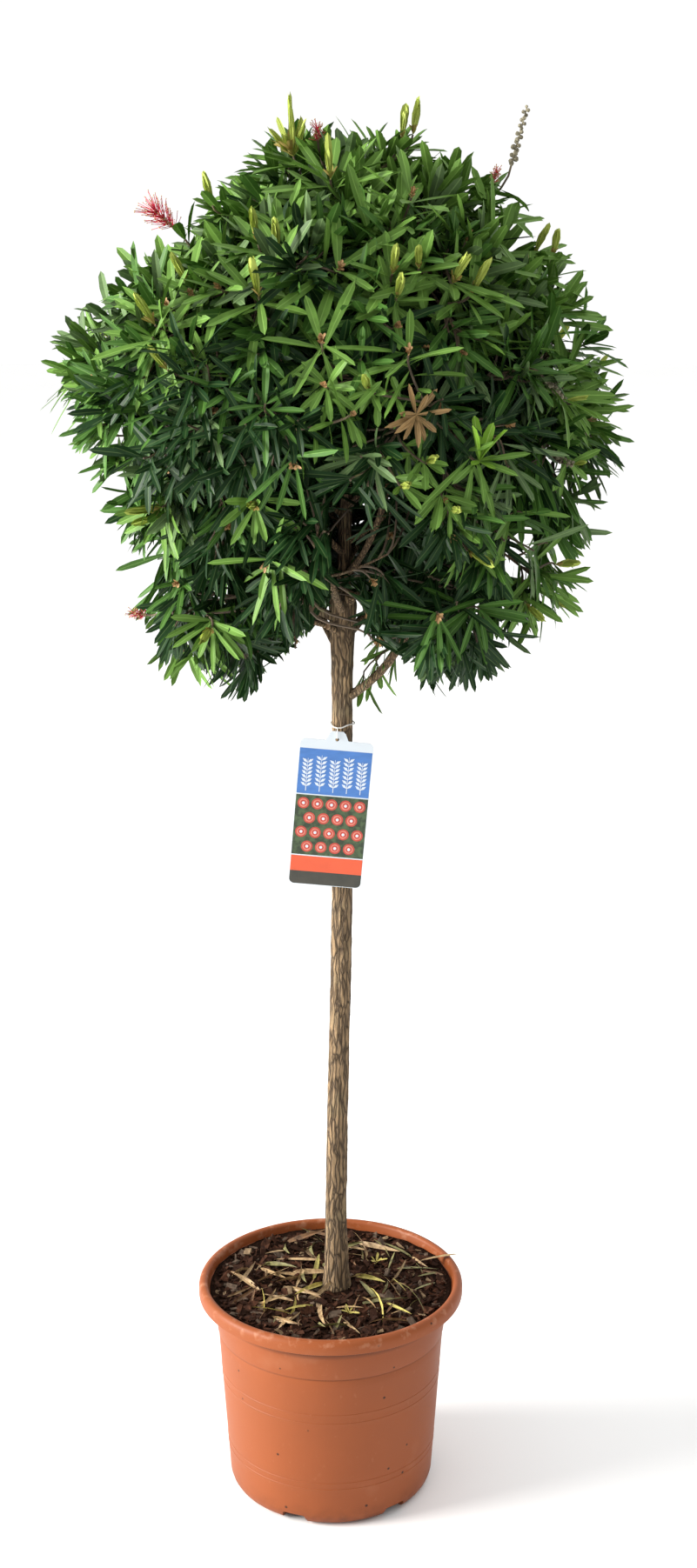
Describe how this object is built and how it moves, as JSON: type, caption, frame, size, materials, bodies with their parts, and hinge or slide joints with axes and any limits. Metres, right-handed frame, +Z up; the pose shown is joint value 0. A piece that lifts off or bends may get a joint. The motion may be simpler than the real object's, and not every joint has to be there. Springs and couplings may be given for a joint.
{
  "type": "potted bottlebrush",
  "caption": "Small standard bottlebrush in a plastic nursery pot: one bare trunk under a globe crown of narrow evergreen leaves, with a plain hanging label.",
  "frame": {"origin": "centre of the flat underside of the pot", "axes": "+Z up along the trunk, -Y is the front that carries the label, +X is the right seen from the front"},
  "size_m": [0.5918, 0.5874, 1.546],
  "materials": {
    "pot_plastic": "matte terracotta-coloured polypropylene",
    "potting_mix": "moist dark bark potting mix",
    "bark": "furrowed grey-brown bark",
    "foliage": "leathery mid to dark green leaves",
    "label_card": null,
    "label_band": "thin white elastic"
  },
  "bodies": {
    "root": {"pot": "pot_plastic", "potting_mix": "potting_mix", "trunk": "bark", "bough_lower_1": "bark", "bough_lower_2": "bark", "bough_lower_3": "bark", "bough_lower_4": "bark", "bough_lower_5": "bark", "bough_middle_1": "bark", "bough_middle_2": "bark", "bough_middle_3": "bark", "bough_middle_4": "bark", "bough_middle_5": "bark", "bough_middle_6": "bark", "bough_upper_1": "bark", "bough_upper_2": "bark", "bough_upper_3": "bark", "bough_upper_4": "bark", "bough_upper_5": "bark", "foliage_lower_1": "foliage", "foliage_lower_2": "foliage", "foliage_lower_3": "foliage", "foliage_lower_4": "foliage", "foliage_lower_5": "foliage", "foliage_middle_1": "foliage", "foliage_middle_2": "foliage", "foliage_middle_3": "foliage", "foliage_middle_4": "foliage", "foliage_middle_5": "foliage", "foliage_middle_6": "foliage", "foliage_upper_1": "foliage", "foliage_upper_2": "foliage", "foliage_upper_3": "foliage", "foliage_upper_4": "foliage", "foliage_upper_5": "foliage", "foliage_top_1": "foliage", "label": "label_card", "label_band": "label_band"}
  },
  "joints": []
}
